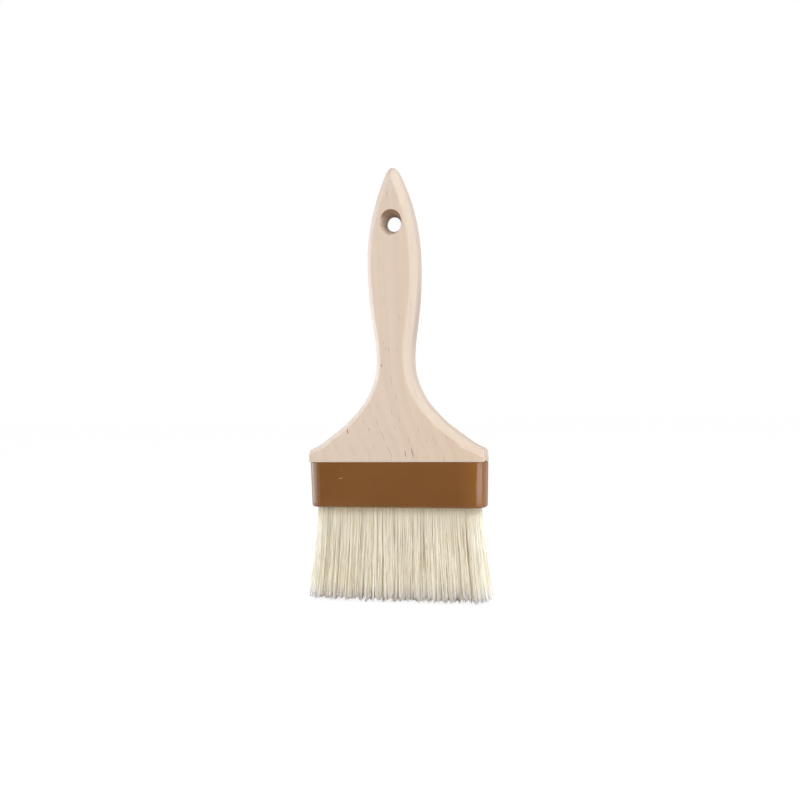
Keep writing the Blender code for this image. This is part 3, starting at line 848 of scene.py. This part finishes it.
def draw_bristles(rng, is_long, n, side, u_low, u_high, scatter):
    """Places, offsets, lengths, radii and tones of n bristles, as arrays."""
    along, deep = r2_points(n, scatter + (0.0 if is_long else 0.31))
    u = u_low + (u_high - u_low) * along
    # long bristles mostly lie at the outer face, thinning inwards
    q = 1.0 - 0.62 * deep ** 1.35 if is_long else 0.02 + 0.60 * deep
    u = u + rng.normal(0, 0.0012, n)
    q = np.clip(q + rng.normal(0, 0.012, n), 0.0, 1.0)

    # nearest clump and lock, with both directions brought to about a millimetre scale
    clump_u = rng.uniform(u_low - 0.02, u_high + 0.02, CLUMPS)
    clump_q = rng.uniform(-0.05, 1.08, CLUMPS)
    clump = np.argmin(((u[:, None] - clump_u) * 51.0) ** 2
                      + ((q[:, None] - clump_q) * 7.5) ** 2, 1)
    lock_u = rng.uniform(u_low - 0.02, u_high + 0.02, LOCKS)
    lock_q = rng.uniform(0, 1, LOCKS)
    lock = np.argmin(np.abs(u[:, None] - lock_u) * 51.0 + np.abs(q[:, None] - lock_q) * 3.0, 1)

    # what the bristles of a clump or lock share; quieter near the ends of the bank
    clump_x = rng.normal(0, 0.44, CLUMPS)[clump] + rng.normal(0, 0.12, LOCKS)[lock]
    clump_y = rng.normal(0, 0.20, CLUMPS)[clump]
    clump_z = (rng.gamma(1.1, 0.95, CLUMPS) - 0.75)[clump] + rng.normal(0, 0.25, LOCKS)[lock]
    clump_tone = rng.normal(0, 1, CLUMPS)[clump] * 0.95
    pull = rng.uniform(0.20, 0.65, CLUMPS)[clump]
    even = 1.0 - 0.75 * smooth01((np.abs(u) - 0.68) / 0.17)
    clump_x = clump_x * even
    pull = pull * even

    # what each bristle does alone, with a few strays
    own_x = rng.normal(0, 0.26, n)
    own_y = rng.normal(0, 0.22, n)
    stray = rng.random(n) < 0.035
    own_x = np.where(stray, rng.normal(0, 1.25, n), own_x)
    own_y = np.where(stray, np.abs(rng.normal(0, 0.35, n)), own_y)
    # a loose fringe at the two ends of the bank
    fringe = np.sign(u) * rng.gamma(1.4, 0.42, n) * smooth01((np.abs(u) - 0.925) / 0.06)
    own_x = own_x + np.where(rng.random(n) < 0.6, fringe, 0.0)
    curl_x = rng.normal(0, 0.16, n)
    curl_y = rng.normal(0, 0.10, n)
    phase = rng.uniform(0, 2 * math.pi, n)

    # wisps side by side end at slightly different heights; tip is the height of the end
    tip_x = u * TIP_HALF * (1 - pull) + clump_u[clump] * TIP_HALF * pull + clump_x + own_x
    wisp_edges = (u_low - 0.06) * TIP_HALF + np.cumsum(rng.uniform(0.35, 1.15, 70))
    ragged = np.clip(rng.normal(0, 1.5, 71), -1.4, 3.2)[np.searchsorted(wisp_edges, tip_x)]
    lift = rng.gamma(1.1, 0.45, n) - 0.75 + clump_z + ragged
    cut_short = rng.random(n) < 0.16
    lift = np.where(cut_short, lift + rng.uniform(0.8, 5.5, n), lift)
    across = tip_x * math.cos(EDGE_TURN) + side * (0.2 + 8.2 * q) * math.sin(EDGE_TURN)
    tip = np.clip(1.20 + lift, EDGE_Z[np.searchsorted(EDGE_X, across)], 8.0)

    # root radius and tone: some are thick, some dark
    radius = rng.uniform(0.090, 0.140, n)
    radius = np.where(rng.random(n) < 0.26, rng.uniform(0.16, 0.235, n), radius)
    tone = 0.57 + 0.10 * clump_tone + rng.normal(0, 0.32, n)
    dark = rng.random(n) < np.where(np.abs(u) > 0.78, 0.05, 0.15)
    tone = np.where(dark, tone - rng.uniform(0.25, 0.6, n), tone)
    tone = tone + 0.10 * (radius > 0.15)
    # a few coarse pale bristles cross the outer face
    coarse = (rng.random(n) < 0.13) & (q > 0.80)
    radius = np.where(coarse, rng.uniform(0.19, 0.27, n), radius)
    tone = np.where(coarse, rng.uniform(0.72, 0.92, n), tone)
    own_x = np.where(coarse, own_x * 2.2, own_x)
    own_y = np.where(coarse, 0.25 + np.abs(own_y), own_y)
    # paler at the two ends of the bank
    pale = 0.90 * smooth01((np.abs(u) - 0.86) / 0.09)
    tone = tone * (1 - pale) + np.where(u > 0, 1.0, 0.98) * pale
    column = np.clip(np.round(tone * (TONES - 1)), 0, TONES - 1).astype(int)
    spin = rng.uniform(0, 2 * math.pi, n)
    return SimpleNamespace(
        u=u, q=q, clump_u=clump_u[clump], clump_q=clump_q[clump], clump_x=clump_x,
        clump_y=clump_y, pull=pull, own_x=own_x, own_y=own_y, curl_x=curl_x, curl_y=curl_y,
        phase=phase, tip=tip, radius=radius, column=column, spin=spin)


def bristle_paths(b, stations, side):
    """Centre line of every bristle: (bristle, station, xyz)."""
    centre = np.zeros((len(b.u), len(stations), 3))
    for j, station in enumerate(stations):
        z = station + b.tip * max(0.0, 1.0 - station / 30.0)
        free = np.clip((MOUTH - z) / MOUTH, 0.0, 1.02)      # 0 at the ferrule, 1 at z = 0
        half, outer, inner = pack_section(z)
        # near the ends in u the inner faces of the two banks meet
        inner = inner * (1.0 - smooth01((np.abs(b.u) - 0.925) / 0.04)) + 0.02
        x = b.u * half
        over = np.clip(np.abs(x) - (half - FACE_REACH), 0.0, FACE_REACH * 0.999)
        face = outer - FACE_REACH + np.sqrt(np.maximum(FACE_REACH ** 2 - over ** 2, 0.0))
        face = np.maximum(face, inner + 0.25)
        y = inner + (face - inner) * b.q
        # clumping towards the tips
        clump_y = inner + (face - inner) * np.clip(b.clump_q, 0.02, 0.99)
        gather = b.pull * free ** 2.4
        x = x + (b.clump_u * half - x) * gather
        y = y + (clump_y - y) * gather * 0.6
        # clump and own offsets, then curl
        loose = np.minimum(1.0, 3.0 * free)
        x = (x + b.clump_x * free ** 1.7 + b.own_x * free ** 1.35
             + b.curl_x * np.sin(2.6 * math.pi * free + b.phase) * loose)
        y = (y + b.clump_y * free ** 1.7 * (1 - 0.5 * b.q) + b.own_y * free ** 1.4
             + b.curl_y * np.sin(2.2 * math.pi * free + b.phase * 1.7) * loose)
        y = np.maximum(y, 0.11)
        y = np.where(z > MOUTH - 1.0, np.minimum(y, 6.55), y)      # stay within the ferrule
        centre[:, j, 0], centre[:, j, 1], centre[:, j, 2] = x, side * y, z
    return centre


def tube_points(b, centre):
    """Three points round every centre: (bristle, ring, corner, xyz)."""
    n, rings, _ = centre.shape
    points = np.zeros((n, rings, 3, 3))
    for j in range(rings):
        taper = 0.42 if j == rings - 1 else 1.0 - 0.40 * (j / (rings - 1)) ** 2
        radius = b.radius * taper
        axis = centre[:, min(j + 1, rings - 1)] - centre[:, max(j - 1, 0)]
        axis = axis / np.linalg.norm(axis, axis=1, keepdims=True)
        first = np.cross(axis, np.array([0.0, 1.0, 0.0]))
        first /= np.linalg.norm(first, axis=1, keepdims=True)
        second = np.cross(axis, first)
        for m in range(3):
            angle = b.spin + 2 * math.pi * m / 3
            points[:, j, m] = (centre[:, j] + (np.cos(angle) * radius)[:, None] * first
                               + (np.sin(angle) * radius)[:, None] * second)
    return points


def tube_faces(centre, column, base):
    """Corners, face sizes and UVs of closed three-sided tubes whose vertices
    start at index base: first the walls, then root caps, then tip caps."""
    n, rings, _ = centre.shape
    first = np.arange(n)[:, None, None] * (rings * 3) + base
    j = np.arange(rings - 1)[None, :, None] * 3
    m = np.arange(3)[None, None, :]
    m_next = (m + 1) % 3
    quads = np.stack([first + j + m, first + j + m_next,
                      first + j + 3 + m_next, first + j + 3 + m], -1)
    drop = np.abs(centre[:, :, 2] - centre[:, :1, 2])
    v = np.clip(drop / drop[:, -1:], 0, 1) * 0.96 + 0.02
    shape = (n, rings - 1, 3)
    left, right = (np.broadcast_to((column[:, None, None] + 0.08 + 0.84 * k / 3) / TONES, shape)
                   for k in (m, m + 1))
    upper = np.broadcast_to(v[:, :-1, None], shape)
    lower = np.broadcast_to(v[:, 1:, None], shape)
    wall_uv = np.stack([np.stack(pair, -1) for pair in
                        ((left, upper), (right, upper), (right, lower), (left, lower))], 3)
    corners, sizes, uvs = [quads.reshape(-1)], [np.full(n * (rings - 1) * 3, 4)], []
    uvs.append(wall_uv.reshape(-1, 2))
    last = (rings - 1) * 3
    # each cap: its three corners, v at its base, v step to its apex
    for cap, cap_v, step in (((2, 1, 0), 0.02, 0.012), ((last, last + 1, last + 2), 0.98, -0.012)):
        corners.append(np.stack([first[:, 0, 0] + k for k in cap], -1).reshape(-1))
        sizes.append(np.full(n, 3))
        cap_uv = np.stack([np.stack([(column + across) / TONES, np.full(n, height)], -1)
                           for across, height in
                           ((0.1, cap_v), (0.9, cap_v), (0.5, cap_v + step))], 1)
        uvs.append(cap_uv.reshape(-1, 2))
    return corners, sizes, uvs


def grow_bank(name, side, u_low, u_high, seed, mat):
    """One stretch of a bank: long bristles near the outer face and short-stationed
    ones deeper in. side is -1 for the front and 1 for the back."""
    rng = np.random.default_rng(seed)
    verts, corners, sizes, uvs = [], [], [], []
    base = 0
    for is_long, count, stations in ((True, N_LONG, LONG_STATIONS),
                                     (False, N_SHORT, SHORT_STATIONS)):
        bristles = draw_bristles(rng, is_long, count, side, u_low, u_high, 0.137 * seed % 1.0)
        centre = bristle_paths(bristles, stations, side)
        verts.append(tube_points(bristles, centre).reshape(-1, 3))
        new_corners, new_sizes, new_uvs = tube_faces(centre, bristles.column, base)
        corners += new_corners
        sizes += new_sizes
        uvs += new_uvs
        base += len(verts[-1])
    mesh = mesh_from_arrays(name, np.concatenate(verts) * MM, np.concatenate(corners),
                            np.concatenate(sizes), np.concatenate(uvs))
    tuft = add_object(name, mesh)
    finish_mesh(mesh, mat)
    return tuft


def build_bristles():
    front_mat = bristle_material("natural_bristle_front", warm=False)
    back_mat = bristle_material("natural_bristle_back", warm=True)
    seed = 100
    for bank, side, mat in (("front", -1, front_mat), ("back", 1, back_mat)):
        for part, u_low, u_high in (("left", -1.0, -1 / 3), ("middle", -1 / 3, 1 / 3),
                                    ("right", 1 / 3, 1.0)):
            seed += 1
            tuft = grow_bank(f"bristles_{bank}_{part}", side, u_low, u_high, seed, mat)
            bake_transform(tuft)
            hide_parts(f"bristles_{bank}", f"bristle_roots_{bank}")


# --------------------------------------------------------------- hidden pieces
def resin_material():
    n = Material("cured_setting_resin")
    coord = n.coord()
    cloud = n.noise(coord, scale=120.0, detail=4.0, rough=0.6)
    bubbles = n.noise(coord, scale=1400.0, detail=0.0)
    col = n.mix(n.fade(cloud, span=(0.3, 0.7)), (0.24, 0.12, 0.035), (0.42, 0.24, 0.09))
    n.surface({
        "Base Color": n.stain(col, (0.62, 0.45, 0.22), n.fade(bubbles, span=(0.74, 0.80)),
                              amount=0.5),
        "Roughness": n.math('MULTIPLY_ADD', cloud, 0.25, 0.12),
        "Normal": n.bump(bubbles, strength=0.3, distance=0.0002),
    })
    return n.mat


def glue_material():
    n = Material("cured_tenon_adhesive")
    x, y, z = n.split(n.coord())
    smear = n.noise(n.vector(x, y, z, z_scale=3.0), scale=300.0, detail=4.0, rough=0.6)
    n.surface({
        "Base Color": n.mix(n.fade(smear, span=(0.3, 0.7)),
                            (0.72, 0.63, 0.44), (0.84, 0.78, 0.62)),
        "Roughness": n.math('MULTIPLY_ADD', smear, 0.3, 0.25),
        "Normal": n.bump(smear, strength=0.4, distance=0.0002),
    })
    return n.mat


def coat_hidden_pieces():
    for piece, material in (("spacer_plug", filler_wood), ("resin_setting", resin_material),
                            ("handle_adhesive", glue_material)):
        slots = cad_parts[piece].data.materials
        slots.clear()
        slots.append(material())


# ----------------------------------------------------------------------- stage
def floor_material():
    """Plain grey to diffuse rays, near white to the camera, shaded in reflections."""
    n = Material("pale_floor")
    path = n.new("ShaderNodeLightPath").outputs
    n.surface({"Base Color": (0.80, 0.80, 0.80), "Roughness": 0.9, "Specular IOR Level": 0.0})
    diffuse = n.new("ShaderNodeBsdfDiffuse")
    n.put(diffuse.inputs["Color"], (0.16, 0.16, 0.16))
    glow = n.new("ShaderNodeEmission")
    n.put(glow.inputs["Color"], (1.0, 1.0, 1.0))
    n.put(glow.inputs["Strength"], 0.90)
    seen = n.new("ShaderNodeAddShader")
    n.put(seen.inputs[0], diffuse.outputs[0])
    n.put(seen.inputs[1], glow.outputs[0])

    # in reflections: dark before the brush, white beside it and grey far behind
    _, before_y, _ = n.split(n.coord())
    x, y, _ = n.split(n.coord())
    aside = n.size(n.math('DIVIDE', n.plus(x, n.times(y, 0.25)), n.largest(y, 0.05)))
    far = n.largest(n.fade(aside, span=(0.30, 0.95), out=(0.35, 1.0)),
                    n.fade(y, span=(0.30, 0.10)))
    reflected = n.new("ShaderNodeEmission")
    n.put(reflected.inputs["Strength"],
          n.times(n.fade(before_y, span=(-0.22, 0.06), out=(0.13, 1.0)), far))

    def choose(ray, otherwise, chosen):
        node = n.new("ShaderNodeMixShader")
        for socket, value in zip(node.inputs, (path[ray], otherwise, chosen)):
            n.put(socket, value)
        return node.outputs[0]

    unseen = choose("Is Glossy Ray", n.bsdf.outputs[0], reflected.outputs[0])
    surface = choose("Is Camera Ray", unseen, seen.outputs[0])
    n.put(n.tree.nodes["Material Output"].inputs["Surface"], surface)
    return n.mat


def build_floor():
    mesh = bpy.data.meshes.new("floor")
    bm = bmesh.new()
    bmesh.ops.create_grid(bm, x_segments=2, y_segments=2, size=6.0)
    bm.to_mesh(mesh)
    bm.free()
    floor = add_object("floor", mesh)
    floor.location = (0, 0, -0.0022)
    mesh.materials.append(floor_material())


def build_world():
    """White to the camera; otherwise brighter behind (+Y) than in front."""
    world = bpy.data.worlds.new("studio")
    scene.world = world
    world.use_nodes = True
    n = Nodes(world.node_tree)
    path = n.new("ShaderNodeLightPath").outputs
    _, y, _ = n.split(n.coord("Generated"))
    room = n.fade(y, span=(-0.45, 0.55), out=(0.22, 1.00))
    # glossy rays see a dimmer room
    gloss = n.math('MULTIPLY_ADD', path["Is Glossy Ray"], -0.45, 1.0)
    pick = n.new("ShaderNodeMix", data_type='FLOAT')
    n.put(pick.inputs[0], path["Is Camera Ray"])
    n.put(pick.inputs[2], n.times(room, gloss))
    n.put(pick.inputs[3], 1.0)
    background = n.tree.nodes["Background"]
    n.put(background.inputs["Color"], (1.0, 1.0, 1.0))
    n.put(background.inputs["Strength"], pick.outputs[0])


# Area lights: name, azimuth from the front (positive to +X) and elevation in degrees,
# distance, width, height (m), radiance, height of the point aimed at (m)
SOFTBOXES = [
    ("softbox_right", 63, 0, 0.41, 0.335, 0.16, 3.7, 0.082),
    ("softbox_high_right", 66, 47, 0.80, 0.60, 0.50, 3.4, 0.11),
    ("softbox_left", -82, 0, 0.42, 0.50, 0.34, 2.95, 0.172),
    ("softbox_left_edge", -41, 0, 0.42, 0.10, 0.34, 1.0, 0.172),
    ("softbox_top", 4, 56, 0.85, 1.0, 0.55, 1.75, 0.11),
]


def softbox(name, azimuth, elevation, distance, width, height, radiance, aim_z):
    """An area light that gives the same brightness per area whatever its size."""
    data = bpy.data.lights.new(name, 'AREA')
    data.shape = 'RECTANGLE'
    data.size, data.size_y = width, height
    data.energy = radiance * math.pi * width * height
    obj = bpy.data.objects.new(name, data)
    a, e = math.radians(azimuth), math.radians(elevation)
    away = Vector((math.sin(a) * math.cos(e), -math.cos(a) * math.cos(e), math.sin(e)))
    obj.location = Vector((0, 0, aim_z)) + away * distance
    obj.rotation_euler = (-away).to_track_quat('-Z', 'Y').to_euler()
    obj.visible_camera = False
    scene.collection.objects.link(obj)


# ---------------------------------------------------------------------- camera
YAW, ROLL = math.radians(14.5), math.radians(0.91)
DISTANCE, VIEW_WIDTH = 0.600, 0.4486            # m; the view's width at the target
AIM_RIGHT, AIM_Z = 1.58, 110.64                 # mm; target along the camera's level right
SENSOR = 36.0


def build_camera():
    right = Vector((math.cos(YAW), math.sin(YAW), 0.0))
    back = Vector((math.sin(YAW), -math.cos(YAW), 0.0))
    up = Vector((0, 0, 1))
    rolled_right = right * math.cos(ROLL) - up * math.sin(ROLL)
    rolled_up = up * math.cos(ROLL) + right * math.sin(ROLL)
    data = bpy.data.cameras.new("camera")
    data.sensor_width = SENSOR
    data.lens = SENSOR * DISTANCE / VIEW_WIDTH
    data.clip_start, data.clip_end = 0.01, 50.0
    camera = bpy.data.objects.new("camera", data)
    position = right * AIM_RIGHT * MM + up * AIM_Z * MM + back * DISTANCE
    place = Matrix.Identity(4)
    for column, axis in enumerate((rolled_right, rolled_up, back, position)):
        for row in range(3):
            place[row][column] = axis[row]
    camera.matrix_world = place
    scene.collection.objects.link(camera)
    scene.camera = camera


# ----------------------------------------------------------------------- build
scene = bpy.context.scene
build_handle()
build_ferrule()
build_bristles()
coat_hidden_pieces()

scene.view_settings.view_transform = 'Standard'
scene.view_settings.look = 'None'
scene.view_settings.exposure = 0.0
scene.view_settings.gamma = 1.0
build_floor()
build_world()
for box in SOFTBOXES:
    softbox(*box)
build_camera()

bpy.context.view_layer.update()
